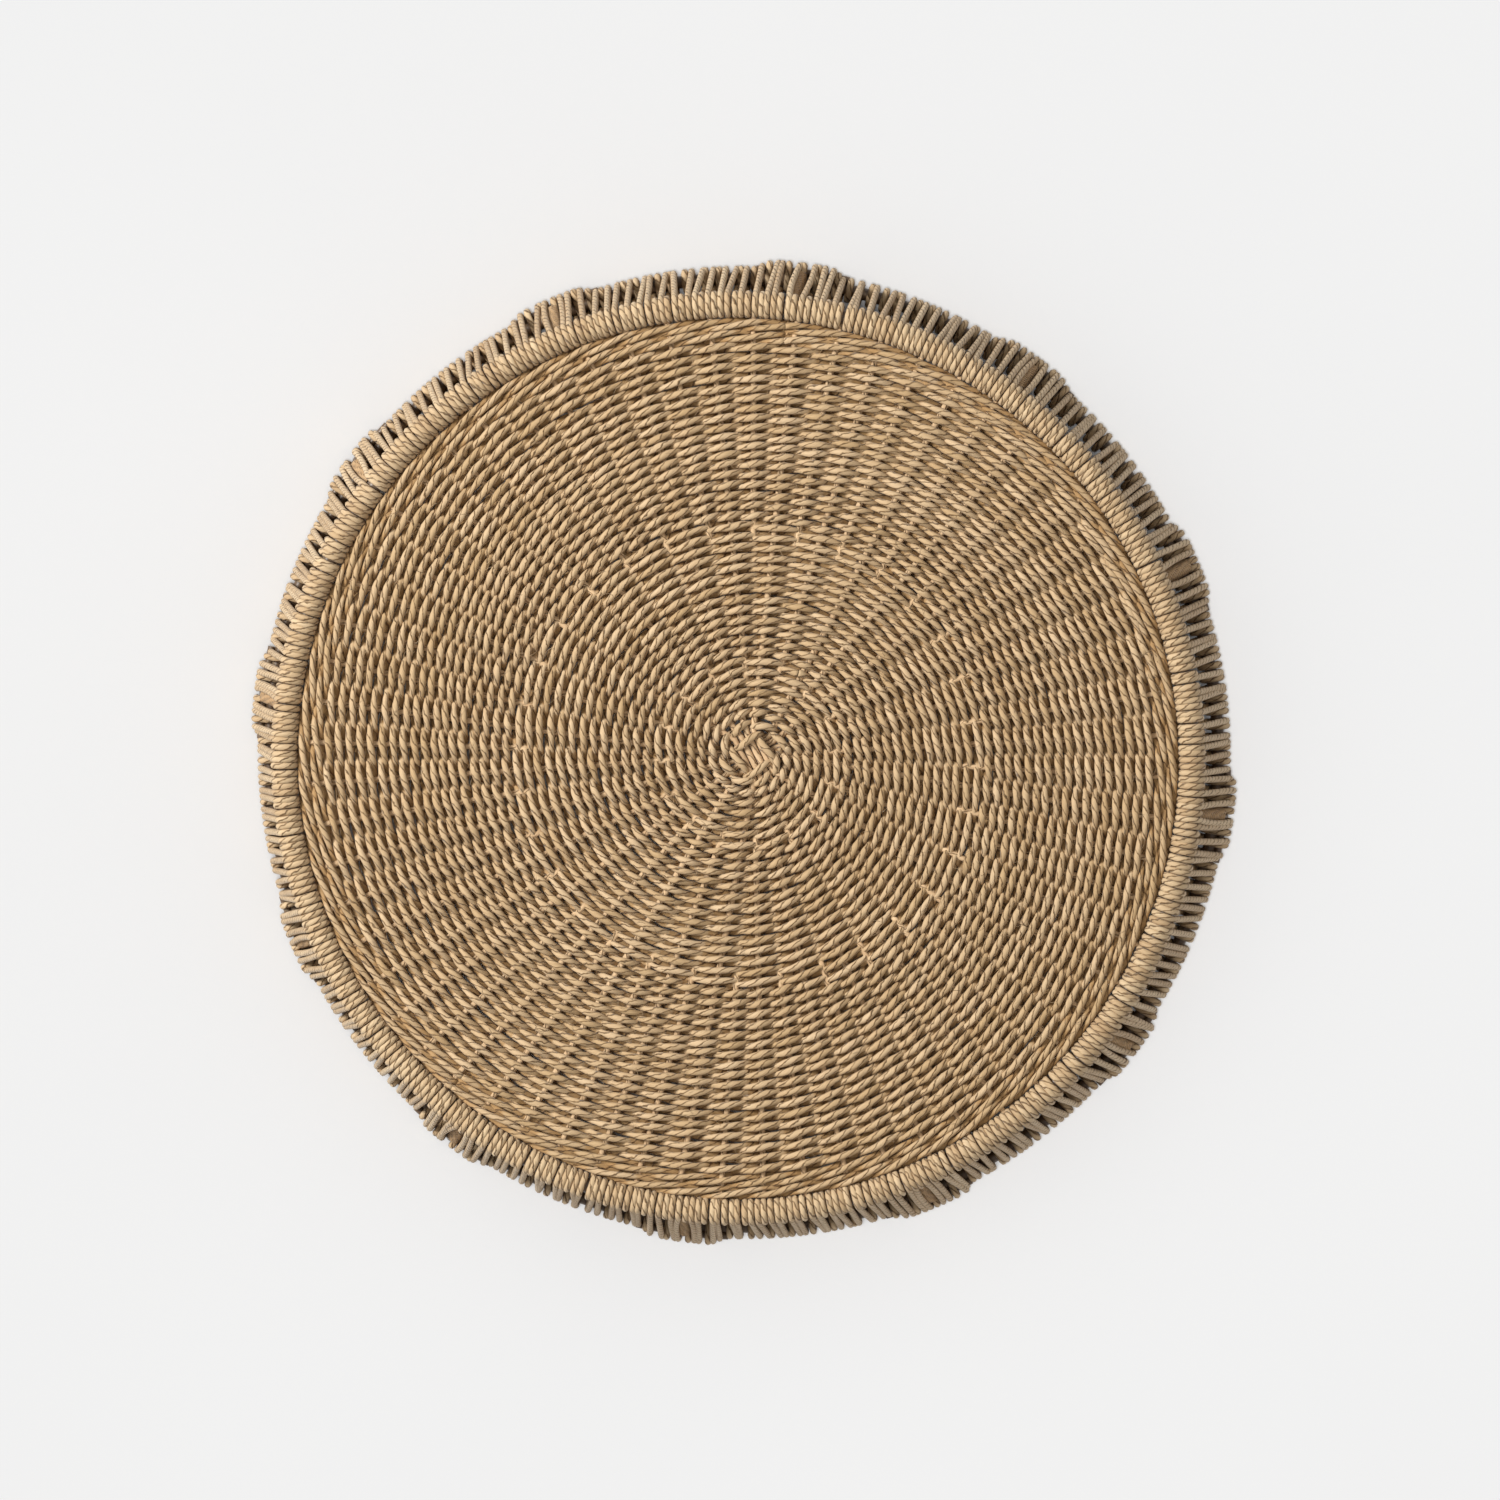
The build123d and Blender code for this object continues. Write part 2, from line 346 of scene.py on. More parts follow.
def cord_paper(name, pale, brown, groove_shade, low, lay=0.016, folds=3, crease=0.15):
    """Twisted paper cord, from a pale and a brown fibre colour, the painted shade colour in its twist
    grooves, and a painted shade multiplier for undersides and the lengths under other cords.
    """
    material = bpy.data.materials.new(name)
    material.use_nodes = True
    tree = material.node_tree
    tree.nodes.clear()
    output = tree.nodes.new("ShaderNodeOutputMaterial")
    shader = tree.nodes.new("ShaderNodeBsdfPrincipled")
    link(tree, shader, "BSDF", output, "Surface")
    cord_map = tree.nodes.new("ShaderNodeUVMap")
    cord_map.uv_map = "along_cord"
    split = tree.nodes.new("ShaderNodeSeparateXYZ")
    link(tree, cord_map, "UV", split, 0)
    tint = tree.nodes.new("ShaderNodeAttribute")
    tint.attribute_name = "tint"
    place = tree.nodes.new("ShaderNodeTexCoord")

    twist = math_node(tree, "MULTIPLY", (split, "X"), -1.0 / lay)
    spun = math_node(tree, "ADD", (twist, 0), (split, "Y"))
    wobble = noise_node(tree, (place, "Object"), 260.0, 2.0)
    soft = math_node(tree, "MULTIPLY", (wobble, "Fac"), 0.35)
    bent = math_node(tree, "ADD", (spun, 0), (soft, 0))

    folded = math_node(tree, "MULTIPLY", (bent, 0), float(folds))
    saw = math_node(tree, "FRACT", (folded, 0))
    off = math_node(tree, "SUBTRACT", (saw, 0), 0.5)
    far = math_node(tree, "ABSOLUTE", (off, 0))
    # This groove mask carries painted shade: the groove lines are coloured dark below.
    line = tree.nodes.new("ShaderNodeMapRange")
    line.interpolation_type = "SMOOTHSTEP"
    line.inputs["From Min"].default_value = 0.0
    line.inputs["From Max"].default_value = crease
    link(tree, far, 0, line, "Value")

    strand = tree.nodes.new("ShaderNodeCombineXYZ")
    slow = math_node(tree, "MULTIPLY", (split, "X"), 90.0)
    quick = math_node(tree, "MULTIPLY", (bent, 0), 26.0)
    own = math_node(tree, "MULTIPLY", (tint, "Fac"), 37.0)
    link(tree, slow, 0, strand, 0)
    link(tree, quick, 0, strand, 1)
    link(tree, own, 0, strand, 2)
    fibre = noise_node(tree, (strand, "Vector"), 1.0, 3.0)
    stripe = tree.nodes.new("ShaderNodeMapRange")
    stripe.inputs["From Min"].default_value = 0.30
    stripe.inputs["From Max"].default_value = 0.70
    link(tree, fibre, "Fac", stripe, "Value")

    patch_at = tree.nodes.new("ShaderNodeCombineXYZ")
    step = math_node(tree, "MULTIPLY", (split, "X"), 45.0)
    link(tree, step, 0, patch_at, 0)
    link(tree, own, 0, patch_at, 2)
    patch = noise_node(tree, (patch_at, "Vector"), 1.0, 2.0)
    shade = math_node(tree, "ADD", (patch, "Fac"), (tint, "Fac"))
    level = tree.nodes.new("ShaderNodeMapRange")
    level.inputs["From Min"].default_value = 0.55
    level.inputs["From Max"].default_value = 1.45
    link(tree, shade, 0, level, "Value")

    paper = mix_colour(tree, (level, 0), brown, pale)
    darker = mix_colour(tree, 0.80, (paper, 2), (0.78, 0.72, 0.64), "MULTIPLY")
    streaked = mix_colour(tree, (stripe, 0), (darker, 2), (paper, 2))
    # Painted shade: the twist's groove lines take the dark groove colour.
    with_groove_shade = mix_colour(tree, (line, 0), groove_shade, (streaked, 2))
    # Painted shade: the undersides of cords and the lengths that dive under other cords are multiplied
    # by a darker colour.
    wear_and_painted_shade = tree.nodes.new("ShaderNodeAttribute")
    wear_and_painted_shade.attribute_name = "wear_and_painted_shade"
    shade_free = tree.nodes.new("ShaderNodeMapRange")
    shade_free.interpolation_type = "SMOOTHSTEP"
    shade_free.inputs["From Min"].default_value = 0.30
    shade_free.inputs["From Max"].default_value = 0.80
    link(tree, wear_and_painted_shade, "Fac", shade_free, "Value")
    painted_shade_colour = mix_colour(tree, 1.0, (with_groove_shade, 2), low, "MULTIPLY")
    with_painted_shade = mix_colour(tree, (shade_free, 0), (painted_shade_colour, 2), (with_groove_shade, 2))
    link(tree, with_painted_shade, 2, shader, "Base Color")

    rise = math_node(tree, "MULTIPLY", (fibre, "Fac"), 0.35)
    height = math_node(tree, "ADD", (line, 0), (rise, 0))
    bump = tree.nodes.new("ShaderNodeBump")
    bump.inputs["Strength"].default_value = 0.85
    bump.inputs["Distance"].default_value = 0.00045
    link(tree, height, 0, bump, "Height")
    link(tree, bump, "Normal", shader, "Normal")
    shader.inputs["Roughness"].default_value = 0.74
    shader.inputs["Specular IOR Level"].default_value = 0.32
    shader.inputs["Sheen Weight"].default_value = 0.12
    shader.inputs["Sheen Roughness"].default_value = 0.5
    return material


# In each finish the last two colours are painted shade: the colour in the twist grooves and the
# multiplier for undersides and the lengths under other cords.
WEAVE_PAPER = cord_paper(
    "woven paper cord", (0.60, 0.450, 0.285), (0.475, 0.332, 0.180), (0.20, 0.110, 0.042),
    (0.82, 0.72, 0.57))
WRAP_PAPER = cord_paper(
    "wrapping paper cord", (0.62, 0.480, 0.310), (0.49, 0.350, 0.205), (0.19, 0.105, 0.042),
    (0.88, 0.77, 0.60), 0.014, crease=0.17)
THIN_PAPER = cord_paper(
    "thin winding cord", (0.56, 0.39, 0.22), (0.40, 0.25, 0.13), (0.17, 0.095, 0.04),
    (0.60, 0.50, 0.40), 0.006)
STICK_PAPER = cord_paper(
    "stiff stick cord", (0.72, 0.53, 0.33), (0.52, 0.35, 0.20), (0.28, 0.17, 0.08),
    (0.60, 0.50, 0.40), 0.020)
print("finishes", [m.name for m in bpy.data.materials][:6])

# %% [markdown]
# ## Dark lacquered wire
#
# The hoops and struts are steel rod. They hardly show, but they are in there, so
# they keep their exact shapes from the frame and get a dark lacquer with a few
# paler rubbed spots. It is a dark brown that matches the shade between the cords.


# %% The wire's finish
def lacquered_wire():
    material = bpy.data.materials.new("lacquered wire")
    material.use_nodes = True
    tree = material.node_tree
    shader = tree.nodes["Principled BSDF"]
    place = tree.nodes.new("ShaderNodeTexCoord")
    wear_and_painted_shade = noise_node(tree, (place, "Object"), 180.0, 4.0)
    edge = tree.nodes.new("ShaderNodeMapRange")
    edge.inputs["From Min"].default_value = 0.58
    edge.inputs["From Max"].default_value = 0.72
    link(tree, wear_and_painted_shade, "Fac", edge, "Value")
    colour = mix_colour(tree, (edge, 0), (0.115, 0.072, 0.042), (0.24, 0.18, 0.12))
    link(tree, colour, 2, shader, "Base Color")
    bump = tree.nodes.new("ShaderNodeBump")
    bump.inputs["Strength"].default_value = 0.2
    bump.inputs["Distance"].default_value = 0.0002
    link(tree, wear_and_painted_shade, "Fac", bump, "Height")
    link(tree, bump, "Normal", shader, "Normal")
    shader.inputs["Roughness"].default_value = 0.42
    shader.inputs["Metallic"].default_value = 0.0
    return material


WIRE = lacquered_wire()
wire_nodes = ["top_hoop", "bottom_hoop"] + [f"strut_{k + 1:02d}" for k in range(STRUTS)]
for name in wire_nodes:
    nodes[name].data.materials.clear()
    nodes[name].data.materials.append(WIRE)
print("wire nodes", len(wire_nodes))

# %% [markdown]
# ## Sticks and spokes
#
# Four sticks lie over four at the crossing. Each one runs straight under the
# binding and then bends to its own direction. The bend is a smooth blend from
# the parallel line to the radial one. The added spokes are straight and start
# among the rows, where their ends are pushed in.

# %% Make the sticks and spokes
HUB = BIND_R * 0.75          # where a base stick starts to fan out
PITCH = STICK_R * 2.15       # between neighbouring sticks at the crossing
sticks = Skein("base_sticks", sides=10, lobe=0.03, lay=0.02)
rim_reach = RIM_R - RIM_ROD


def stick_line(group, place):
    """One base stick from rim to rim, bent at both sides of the crossing."""
    heading = CROSS_TURN - group * math.pi / 2
    step = place - 1.5
    aside = np.array([-math.sin(heading), math.cos(heading)])
    along = np.array([math.cos(heading), math.sin(heading)])
    halves = []
    for way in (1, -1):
        turn = heading + way * step * FAN + (0 if way == 1 else math.pi)
        tip = rim_reach * np.array([math.cos(turn), math.sin(turn)])
        knee = CROSS_AT + way * along * HUB + aside * step * PITCH
        start = CROSS_AT + aside * step * PITCH
        part = np.linspace(0, 1, 7)[:, None]
        inner = start + (knee - start) * part
        out = np.linspace(0, 1, 60)[1:, None]
        outer = knee + (tip - knee) * out
        halves.append(np.concatenate([inner, outer]))
    flat = np.concatenate([halves[1][::-1], halves[0][1:]])
    middle = np.linalg.norm(flat - CROSS_AT, axis=1)
    lift = STICK_R * (1.15 - 2.3 * group) * (1 - smoothstep(HUB, HUB * 2.4, middle))
    return np.column_stack([flat, RIM_Z + lift])


for group in range(2):
    for place in range(4):
        sticks.add(stick_line(group, place), (0, 0, 1), STICK_R * 2, STICK_R * 2, rng.uniform(0.3, 0.8))
sticks.make(STICK_PAPER, "stick", *[f"base_stick_{k + 1}" for k in range(8)])


def add_spokes(name, node, first, every, start):
    skein = Skein(name, sides=10, lobe=0.03, lay=0.02)
    for k in range(SPOKES // every):
        turn = FIRST + (first + every * k) * STEP
        tip = rim_reach * np.array([math.cos(turn), math.sin(turn)])
        root = np.array(drift(start)) + start * np.array([math.cos(turn), math.sin(turn)])
        part = np.linspace(0, 1, 40)[:, None]
        flat = root + (tip - root) * part
        line = np.column_stack([flat, np.full(40, RIM_Z)])
        skein.add(line, (0, 0, 1), STICK_R * 1.9, STICK_R * 1.9, rng.uniform(0.3, 0.8))
    return skein.make(STICK_PAPER, "stick", node)


TUCK = STICK_R * 4.6         # how far a spoke's end is pushed in among the rows
add_spokes("first_spokes_of_cord", "first_added_spokes", 2, 4, INNER_R - TUCK)
add_spokes("second_spokes_of_cord", "second_added_spokes", 1, 2, MIDDLE_R - TUCK)

# %% [markdown]
# ## The twined rows
#
# Two cords are woven at once. At each spoke one passes over and the other
# passes under, and they change places before the next spoke. They also turn
# about each other, always the same way, so each visible length starts low on
# its left, lies flat over the spoke, and dives under its partner on the right.
# One formula gives both cords: height follows a cosine from spoke to spoke, and
# the sideways shift follows the matching sine.
#
# The rows are one long spiral that runs clockwise. It is cut into zones, where
# the number of spokes doubles.

# %% Weave the spiral
SPIRAL_FROM = BIND_R * 1.02
ROW_GOAL = 4.25 * MM
ROWS = round((WEAVE_R - SPIRAL_FROM) / ROW_GOAL)
ROW = (WEAVE_R - SPIRAL_FROM) / ROWS
FLAT = FACE_HIGH - STICK_R
OVER = STICK_R + FLAT * 0.47     # how far a cord's middle rises over a spoke
SWAP = 0.80 * MM                 # how far the pair swings sideways as it trades places
print("rows", ROWS, "each mm", round(ROW / MM, 2))


def row_radius(turn):
    """Radius of the rows' line. The last rows close up into rings and step up late."""
    rounds = turn / (2 * math.pi)
    whole = np.floor(rounds + 1e-9)
    late = 12 * smoothstep(ROWS - 14, ROWS - 1, whole)
    return SPIRAL_FROM + ROW * (whole + np.clip(rounds - whole, 0, 1) ** (1 + late)) + ROW * 0.42


def turn_at(radius):
    """How far round the rows have gone when they reach a radius, on a whole eighth."""
    turn = (radius - SPIRAL_FROM) / ROW * 2 * math.pi
    return round(turn / (math.pi / 4)) * math.pi / 4


def twined_cord(turn, radius, phase, sway):
    """Line, width, thickness and rub of one cord of a twined row."""
    over = np.cos(phase)
    flat = np.abs(over) ** 0.75
    length = np.concatenate([[0], np.cumsum(np.abs(radius[1:] * np.diff(turn)))])
    above = smoothstep(0.0, 0.3, over)
    lift = OVER * signed_power(over, 0.8)
    shift = SWAP * np.sin(phase) + sway + wander(length, 5 * MM, 0.12 * MM)
    crown_width = 1.55 + 1.35 * flat
    under_width = 2.5 + 2.0 * flat
    width = (under_width + (crown_width - under_width) * above) * MM
    width = width + wander(length, 4 * MM, 0.12 * MM)
    thick = FLAT * (0.74 + 0.20 * flat)
    height = RIM_Z + lift + wander(length, 6 * MM, 0.08 * MM)
    line = on_face(radius + shift, FIRST - turn, height)
    # Painted shade where the cord dives under its partner.
    shade_free_share = smoothstep(-0.45, 0.05, over)
    return line, width, thick, shade_free_share


def weave_zone(name, start, end, spokes, per_spoke, *stands_for):
    """The rows of the spiral between two radii, as both cords of the pair."""
    skein = Skein(name, sides=10, lobe=0.06, lay=0.015)
    first, last = turn_at(start), turn_at(end)
    count = int((last - first) / (2 * math.pi) * spokes * per_spoke) + 1
    turn = np.linspace(first, last, count)
    radius = row_radius(turn)
    length = np.concatenate([[0], np.cumsum(np.abs(radius[1:] * np.diff(turn)))])
    sway = wander(length, 24 * MM, 0.16 * MM)
    chunk = per_spoke * 12
    for cord in range(2):
        phase = turn * spokes / 2 + math.pi * cord
        line, width, thick, shade_free_share = twined_cord(turn, radius, phase, sway)
        under = per_spoke * (1 - cord)
        for at in [0] + list(range(under + chunk, count - 1, chunk)):
            to = min(at + chunk + 1 if at else under + chunk + 1, count)
            if to - at > 2:
                skein.add(line[at:to], (0, 0, 1), width[at:to], thick[at:to],
                          0.5 + 0.26 * rng.normal(), shade_free_share[at:to])
    print(name, "rows", round((last - first) / (2 * math.pi), 1))
    return skein.make(WEAVE_PAPER, "weave_cord", *stands_for)


weave_zone("woven_rows_inner", SPIRAL_FROM, INNER_R, 16, 16, "inner_weave")
weave_zone("woven_rows_middle", INNER_R, MIDDLE_R, 32, 10, "middle_weave")
cuts = list(np.linspace(MIDDLE_R, WEAVE_R, 5)[:4]) + [WEAVE_R]
for part in range(4):
    weave_zone(f"woven_rows_outer_{part + 1}", cuts[part], cuts[part + 1], 64, 9, "outer_weave")

# %% [markdown]
# ## The border rows
#
# Against the rim the rows end with three cords instead of two. Each passes over
# two spokes and behind one, so its visible lengths are longer and slimmer, and
# they lie at a slight slant.

# %% Weave the border
BORDER_SWING = 1.55 * MM
TOP_WIDTH, UNDER_WIDTH = 2.5, 4.3    # of a strand over and behind the spokes, mm
BORDER_LENGTH = 128                  # points in one length of cord before a new one starts
border = Skein("border_rows_of_cord", sides=10, lobe=0.06, lay=0.015)
samples = SPOKES * 10
for row in range(2):
    base = WEAVE_R + (FACE_R - WEAVE_R) * (0.26 + 0.50 * row)
    turn = np.linspace(0, 2 * math.pi * (1 + 0.6 / SPOKES), samples)
    length = base * turn
    sway = wander(length, 30 * MM, 0.18 * MM)
    for cord in range(3):
        phase = 2 * math.pi * (turn / (2 * math.pi) * SPOKES + cord + 1.4 * row) / 3
        over = np.cos(phase)
        lift = OVER * (0.12 + 0.86 * over)
        shift = BORDER_SWING * np.sin(phase) + sway + wander(length, 9 * MM, 0.12 * MM)
        flat = smoothstep(-0.7, 0.6, over)
        width = (UNDER_WIDTH + (TOP_WIDTH - UNDER_WIDTH) * flat) * MM
        width = width + wander(length, 5 * MM, 0.12 * MM)
        pinch = 1 - 0.28 * np.exp(-((over - 0.15) / 0.3) ** 2)
        width = width * pinch
        thick = FLAT * (0.66 + 0.20 * flat)
        line = on_face(base + shift, FIRST - turn, RIM_Z + lift)
        # Painted shade where a strand passes behind the spokes.
        shade_free_share = smoothstep(0.0, 0.7, over)
        for first in range(0, samples - 1, BORDER_LENGTH):
            last = min(first + BORDER_LENGTH + 1, samples)
            border.add(line[first:last], (0, 0, 1), width[first:last], thick[first:last],
                       0.38 + 0.25 * rng.normal(), shade_free_share[first:last])
border.make(WEAVE_PAPER, "weave_cord", "border_rows")

# %% [markdown]
# ## Binding the crossing
#
# The first round holds the sticks together four at a time. It lies as a strap
# across each group, so it looks square, and the four upper sticks show bare in
# the window that the straps leave. The second round holds them two at a time.

# %% Bind the crossing
STRAP_R = 6.1 * MM       # from the crossing's middle to a strap of the square round
PINCHED = 1.7            # width of a cord where it goes under, mm
binding = Skein("crossing_binding", sides=12, lobe=0.06, lay=0.015)


def bind_round(radius, first_turn, turn, groups, lift_by, sharp, wide):
    """One round of the pair over groups of sticks. first_turn faces the first group."""
    for cord in range(2):
        phase = groups / 2 * (turn - first_turn) + math.pi * cord
        over = np.cos(phase)
        flat = np.abs(over) ** sharp
        lift = lift_by * signed_power(over, sharp)
        bulge = radius + 0.95 * MM * np.sin(phase)
        width = (PINCHED + (wide - PINCHED) * flat) * MM
        line = on_face(bulge, FIRST - turn, RIM_Z + lift)
        # The last value marks painted shade where the cord goes under.
        binding.add(line, (0, 0, 1), width, FLAT * (0.72 + 0.2 * flat),
                    rng.uniform(0.4, 0.8), smoothstep(-0.3, 0.2, over))


turn = np.linspace(0, 2 * math.pi, 161) + FIRST - CROSS_TURN
local = (turn - FIRST + CROSS_TURN + math.pi / 4) % (math.pi / 2) - math.pi / 4
bind_round(STRAP_R / np.cos(local * 0.98), FIRST - CROSS_TURN, turn, 4,
           OVER + STICK_R * 0.9, 0.28, 3.0)
turn = np.linspace(0, 2.1 * math.pi, 241)
grow = row_radius(0.0) - ROW * (0.95 - 0.75 * turn / (2 * math.pi))
bind_round(grow, -FAN / 2, turn, 8, OVER + STICK_R * 0.5, 0.6, 3.1)
binding.make(WEAVE_PAPER, "weave_cord", "centre_binding")

# %% [markdown]
# ## Stray fibres
#
# Dry cord sheds a few fine fibres as it is pulled through. Each one here is a
# short hair with both ends caught in the rows and its middle just clear of them.
# They point mostly along the rows, because that's the way the cord was pulled.

# %% Scatter the fibres
FIBRES = 1100
HAIR = 0.16 * MM
fibres = Skein("stray_fibres", sides=3, lobe=0.0, lay=0.004)
part = np.linspace(-0.5, 0.5, 7)
for number in range(FIBRES):
    radius = FACE_R * math.sqrt(rng.uniform(0.002, 0.98))
    turn = rng.uniform(0, 2 * math.pi)
    heading = turn + math.pi / 2 + rng.normal(0, 0.55)
    reach = rng.uniform(2.0, 6.0) * MM
    curl = rng.normal(0, 0.35) * reach
    middle = on_face(radius, turn, RIM_Z + FACE_HIGH - 0.35 * MM)
    along = np.array([math.cos(heading), math.sin(heading), 0.0])
    aside = np.array([-along[1], along[0], 0.0])
    arch = 1 - 4 * part ** 2
    line = middle + np.outer(part * reach, along) + np.outer(arch * curl / 2, aside)
    line[:, 2] += (arch - 0.5) * rng.uniform(0.3, 1.0) * MM
    fibres.add(line, (0, 0, 1), HAIR, HAIR, rng.uniform(0.6, 1.0))
fibres.make(STICK_PAPER, "weave_cord")

# %% [markdown]
# ## Wrapping and lacing
#
# One cord wraps the upper hoop, turn after turn, touching the turn before. Most
# turns also run down the outside, pass around the lower hoop, and come back up
# inside, and these make the skirt. The others are short turns on each hoop
# alone, and they fill what the long ones leave.
#
# The path of any turn is a belt: the shortest loop around its round rods. So it
# is found as the outline of their circles, which works for one rod, for two, and
# for three where a strut's foot lies beside the lower hoop.


# %% Belts around rods
def belt(circles, clear):
    """The outline of some circles, each grown by clear, as points in order."""
    around = np.arange(0, 2 * math.pi, 2 * math.pi / 20)
    cloud = np.concatenate([
        np.column_stack([x + (r + clear) * np.cos(around), z + (r + clear) * np.sin(around)])
        for x, z, r in circles])
    cloud = cloud[np.lexsort((cloud[:, 1], cloud[:, 0]))]

    def half(points):
        kept = []
        for point in points:
            while len(kept) > 1:
                a = kept[-1] - kept[-2]
                b = point - kept[-2]
                if a[0] * b[1] - a[1] * b[0] > 0:
                    break
                kept.pop()
            kept.append(point)
        return kept[:-1]

    loop = np.array(half(cloud) + half(cloud[::-1]))
    points = []
    for here, there in zip(loop, np.roll(loop, -1, axis=0)):
        gap = np.linalg.norm(there - here)
        extra = max(1, int(gap / (5 * MM)))
        for part in range(extra):
            points.append(here + (there - here) * part / extra)
    points.append(points[0])
    return np.array(points)


CORD_R = WRAP_CORD / 2
rim_circle = (RIM_R, RIM_Z, RIM_ROD)
base_circle = (BASE_R, BASE_Z, BASE_ROD)
TURNS_PER_BAY = 36
TURNS = TURNS_PER_BAY * STRUTS
SHOE_HALF = math.radians(6.3)
MOST_LONG = 0.665                    # share of turns that run down, where it is largest
FEWER_LONG = 0.085                   # how much smaller that share is on the other side
FEWER_SIDE = math.radians(45)        # the direction of that other side


def from_strut(turn):
    """Angle from the nearest strut, with its sign."""
    return (turn - STRUT_AT + BAY / 2) % BAY - BAY / 2


def shoe_share(turn):
    """1 over a shoe, 0 away from it."""
    return 1 - smoothstep(SHOE_HALF * 0.5, SHOE_HALF, abs(from_strut(turn)))


def place_belt(points, turn_at, skein, width, tint):
    """Stands a flat belt up at its place round the pad and adds it as a cord.

    The pad's weight presses the lowest cords flat against the floor.
    """
    x, z = points[:, 0], np.maximum(points[:, 1], CORD_R)
    line = np.column_stack([x * np.cos(turn_at), x * np.sin(turn_at), z])
    run = np.gradient(points, axis=0)
    run /= np.linalg.norm(run, axis=1)[:, None]
    out = np.column_stack([run[:, 1], -run[:, 0]])
    up = np.column_stack([out[:, 0] * np.cos(turn_at), out[:, 0] * np.sin(turn_at), out[:, 1]])
    # The underside of each wrapping cord gets painted shade.
    skein.add(line, up, width, WRAP_CORD * 0.96, tint)


# %% [markdown]
# The long turns aren't spaced evenly. On one side of the pad about seven in
# twelve run down, and on the other two in three. A running total decides each
# one, as a maker who counts by eye would. Cords part a little around each strut,
# so its thin winding shows between them.

# %% Wrap the hoops and lace the skirt
rim_turns = [Skein(f"rim_wrap_cord_{half + 1}", sides=8, lobe=0.05, lay=0.014) for half in range(2)]
long_turns = [Skein(f"lacing_cord_{part + 1}", sides=8, lobe=0.05, lay=0.014) for part in range(3)]
base_turns = Skein("lower_wrap_cord_1", sides=8, lobe=0.05, lay=0.014)
total = 0.0
sway_low = rng.normal(0, 0.30, TURNS)
tilt = 2 * math.pi / TURNS
long_count = 0
for number in range(TURNS):
    turn = STRUT_AT + (number + 0.5) * 2 * math.pi / TURNS
    side = math.cos(turn - FEWER_SIDE)
    total += MOST_LONG - FEWER_LONG * smoothstep(-0.35, 0.35, side)
    is_long = total >= 1
    share = shoe_share(turn)
    shoe_circle = (BASE_R + (SHOE_R - BASE_R) * share, BASE_Z, SHOE_ROD)
    jitter = rng.normal(0, 0.10 * tilt)
    tint = 0.5 + 0.22 * rng.normal()
    if is_long:
        total -= 1
        long_count += 1
        points = belt([rim_circle, base_circle, shoe_circle], CORD_R)
        down = np.clip((RIM_Z - points[:, 1]) / (RIM_Z - BASE_Z), 0, 1)
        gap = from_strut(turn)
        part_away = math.copysign(0.35 * tilt, gap) * math.exp(-(gap / (2.0 * tilt)) ** 2)
        middle = np.sin(math.pi * down) ** 0.6
        at = turn + jitter + down * sway_low[number] * tilt + middle * part_away
        skein = long_turns[number * 3 // TURNS]
        place_belt(points, at, skein, WRAP_CORD * 0.96, tint)
    else:
        points = belt([rim_circle], CORD_R)
        place_belt(points, turn + jitter, rim_turns[number * 2 // TURNS], WRAP_CORD * 0.99, tint)
        points = belt([base_circle, shoe_circle], CORD_R)
        place_belt(points, turn + jitter, base_turns, WRAP_CORD * 0.98, tint)
print("long turns", long_count, "short turns", TURNS - long_count)
for skein in rim_turns:
    skein.make(WRAP_PAPER, "wrap_cord", "rim_wrap")
for skein in long_turns:
    skein.make(WRAP_PAPER, "wrap_cord", "outer_lacing", "inner_lacing")
base_turns.make(WRAP_PAPER, "wrap_cord", "bottom_wrap")

# %% [markdown]
# ## The struts' thin winding
#
# Each strut is wound with a thinner cord, close turn by turn. It is a helix
# about the strut's own line, from the rim wrap to the lower wrap.

# %% Wind the struts
STRUT_ROD = 2.0 * MM     # radius of a strut
THIN = 1.2 * MM          # thickness of its winding
LAP = 1.9 * MM           # from one turn of the winding to the next
for k in range(STRUTS):
    turn = STRUT_AT + k * BAY
    out = np.array([math.cos(turn), math.sin(turn), 0])
    top = RIM_R * out + np.array([0, 0, RIM_Z])
    foot = SHOE_R * out + np.array([0, 0, BASE_Z])
    run = foot - top
    reach = np.linalg.norm(run)
    run /= reach
    across = np.array([-math.sin(turn), math.cos(turn), 0])
    front = np.cross(run, across)
    start, end = RIM_WRAP * 0.8, reach - RIM_WRAP * 0.8
    turns = (end - start) / LAP
    spin = np.linspace(0, turns * 2 * math.pi, int(turns * 14))
    at = start + (end - start) * spin / spin[-1]
    ray = np.cos(spin)[:, None] * across + np.sin(spin)[:, None] * front
    line = top + at[:, None] * run + ray * (STRUT_ROD + THIN / 2)
    winding = Skein(f"winding_of_strut_{k + 1:02d}", sides=8, lobe=0.04, lay=0.006)
    winding.add(line, ray, LAP * 0.95, THIN, rng.uniform(0.35, 0.7))
    winding.make(THIN_PAPER, "winding_cord", f"strut_winding_{k + 1:02d}")

# %% [markdown]
# ## Floor and light
#
# The floor is a plain pale sheet. A soft lamp high on the left shapes the cords,
# and a weak one on the other side keeps the shaded skirt readable. Neither of
# them lights the floor. A third lamp straight above lights only the floor, so the
# floor stays even and pale and the pad throws no hard shadow across it.


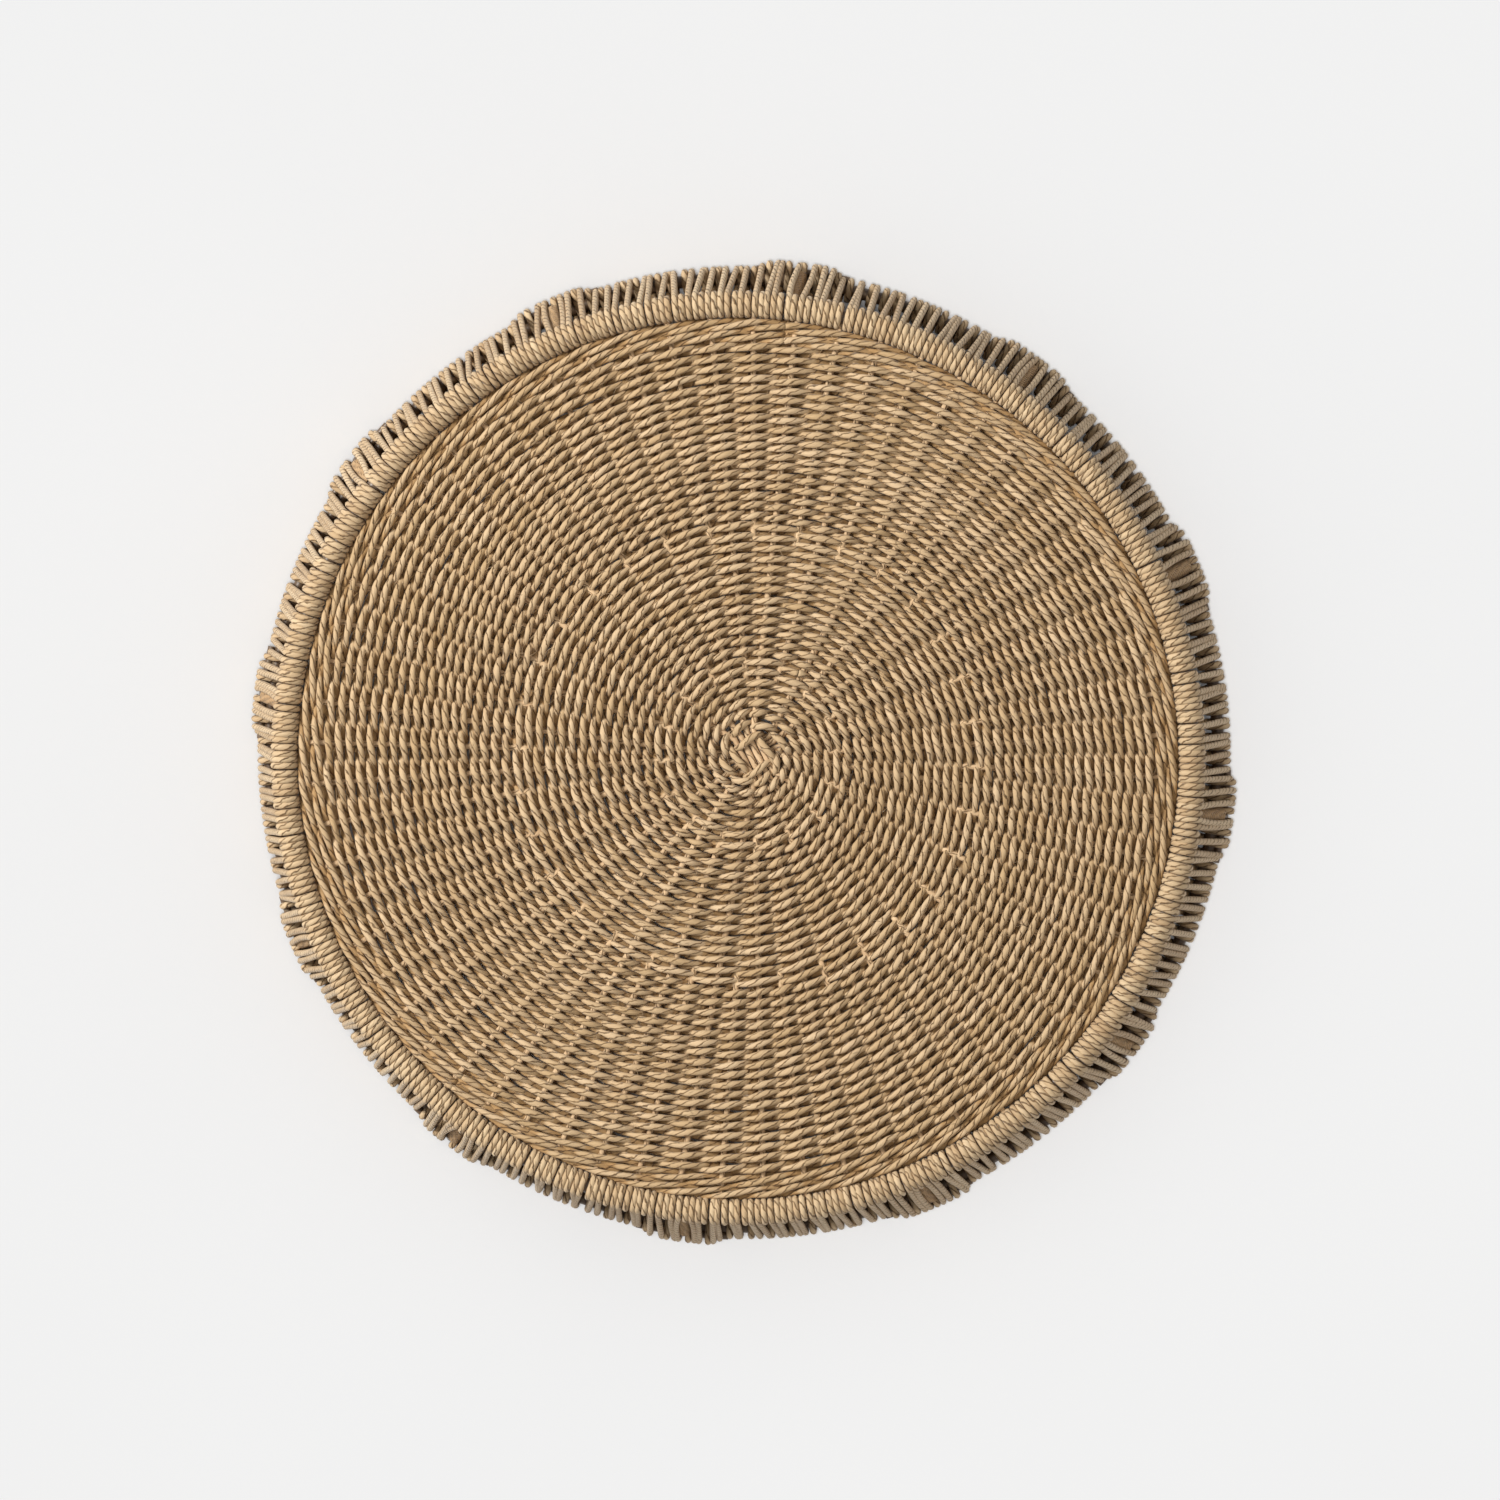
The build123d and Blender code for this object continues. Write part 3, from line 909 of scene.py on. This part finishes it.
# %% Make the floor and the lamps
def plain_floor():
    size = 4.0
    mesh = bpy.data.meshes.new("floor")
    corners = [(-size, -size, 0), (size, -size, 0), (size, size, 0), (-size, size, 0)]
    mesh.from_pydata(corners, [], [(0, 1, 2, 3)])
    floor = bpy.data.objects.new("floor", mesh)
    bpy.context.scene.collection.objects.link(floor)
    material = bpy.data.materials.new("pale floor")
    material.use_nodes = True
    tree = material.node_tree
    shader = tree.nodes["Principled BSDF"]
    place = tree.nodes.new("ShaderNodeTexCoord")
    mottle = noise_node(tree, (place, "Object"), 3.0, 2.0)
    colour = mix_colour(tree, (mottle, "Fac"), (0.86, 0.86, 0.86), (0.89, 0.89, 0.89))
    link(tree, colour, 2, shader, "Base Color")
    shader.inputs["Roughness"].default_value = 0.9
    shader.inputs["Specular IOR Level"].default_value = 0.1
    mesh.materials.append(material)
    return floor


def soft_lamp(name, azimuth, elevation, distance, size, power, colour=(1, 1, 1)):
    """A square area lamp that points at the pad from a direction in degrees."""
    data = bpy.data.lights.new(name, "AREA")
    data.size = size
    data.energy = power
    data.color = colour
    lamp = bpy.data.objects.new(name, data)
    flat = math.cos(math.radians(elevation)) * distance
    lamp.location = (
        flat * math.cos(math.radians(azimuth)),
        flat * math.sin(math.radians(azimuth)),
        math.sin(math.radians(elevation)) * distance)
    lamp.rotation_euler = (-Vector(lamp.location)).to_track_quat("-Z", "Y").to_euler()
    bpy.context.scene.collection.objects.link(lamp)
    return lamp


def shine_on(lamp, floor, only_floor):
    """Limits a lamp to the floor, or to everything but the floor."""
    group = bpy.data.collections.new(lamp.name + " reach")
    group.objects.link(floor)
    lamp.light_linking.receiver_collection = group
    if not only_floor:
        group.collection_objects[0].light_linking.link_state = "EXCLUDE"


floor = plain_floor()
key = soft_lamp("key", 153, 43, 2.6, 0.9, 88, (1.0, 0.98, 0.94))
fill = soft_lamp("fill", -20, 70, 2.6, 2.0, 9, (1.0, 0.96, 0.90))
wash = soft_lamp("floor wash", 0, 90, 4.0, 1.0, 99, (0.945, 0.967, 1.0))
shine_on(key, floor, False)
shine_on(fill, floor, False)
shine_on(wash, floor, True)
world = bpy.data.worlds.new("studio")
world.use_nodes = True
world.node_tree.nodes["Background"].inputs[0].default_value = (1.0, 0.97, 0.92, 1)
world.node_tree.nodes["Background"].inputs[1].default_value = 0.44
bpy.context.scene.world = world
bpy.context.scene.view_settings.view_transform = "Standard"

# %% [markdown]
# ## The camera
#
# The camera looks almost straight down on the woven face, a few degrees off the
# axis, so the skirt shows more on the far side.

# %% Place the camera
TILT_X, TILT_Y = 0.0575, 0.0555
DISTANCE = 3.2
FRAME_WIDTH = 0.607
SENSOR = 36.0
camera_data = bpy.data.cameras.new("camera")
camera_data.sensor_width = SENSOR
camera_data.lens = SENSOR * DISTANCE / FRAME_WIDTH
camera = bpy.data.objects.new("camera", camera_data)
aim = Vector((0.0054, 0.0039, RIM_Z))
away = Vector((TILT_X, TILT_Y, math.sqrt(1 - TILT_X ** 2 - TILT_Y ** 2)))
camera.location = aim + away * DISTANCE
back = away
right = Vector((0, 1, 0)).cross(back).normalized()
above = back.cross(right)
turned = Matrix((right, above, back)).transposed().to_4x4()
camera.matrix_world = Matrix.Translation(camera.location) @ turned
bpy.context.scene.collection.objects.link(camera)
bpy.context.scene.camera = camera
print("camera lens", round(camera_data.lens, 1))
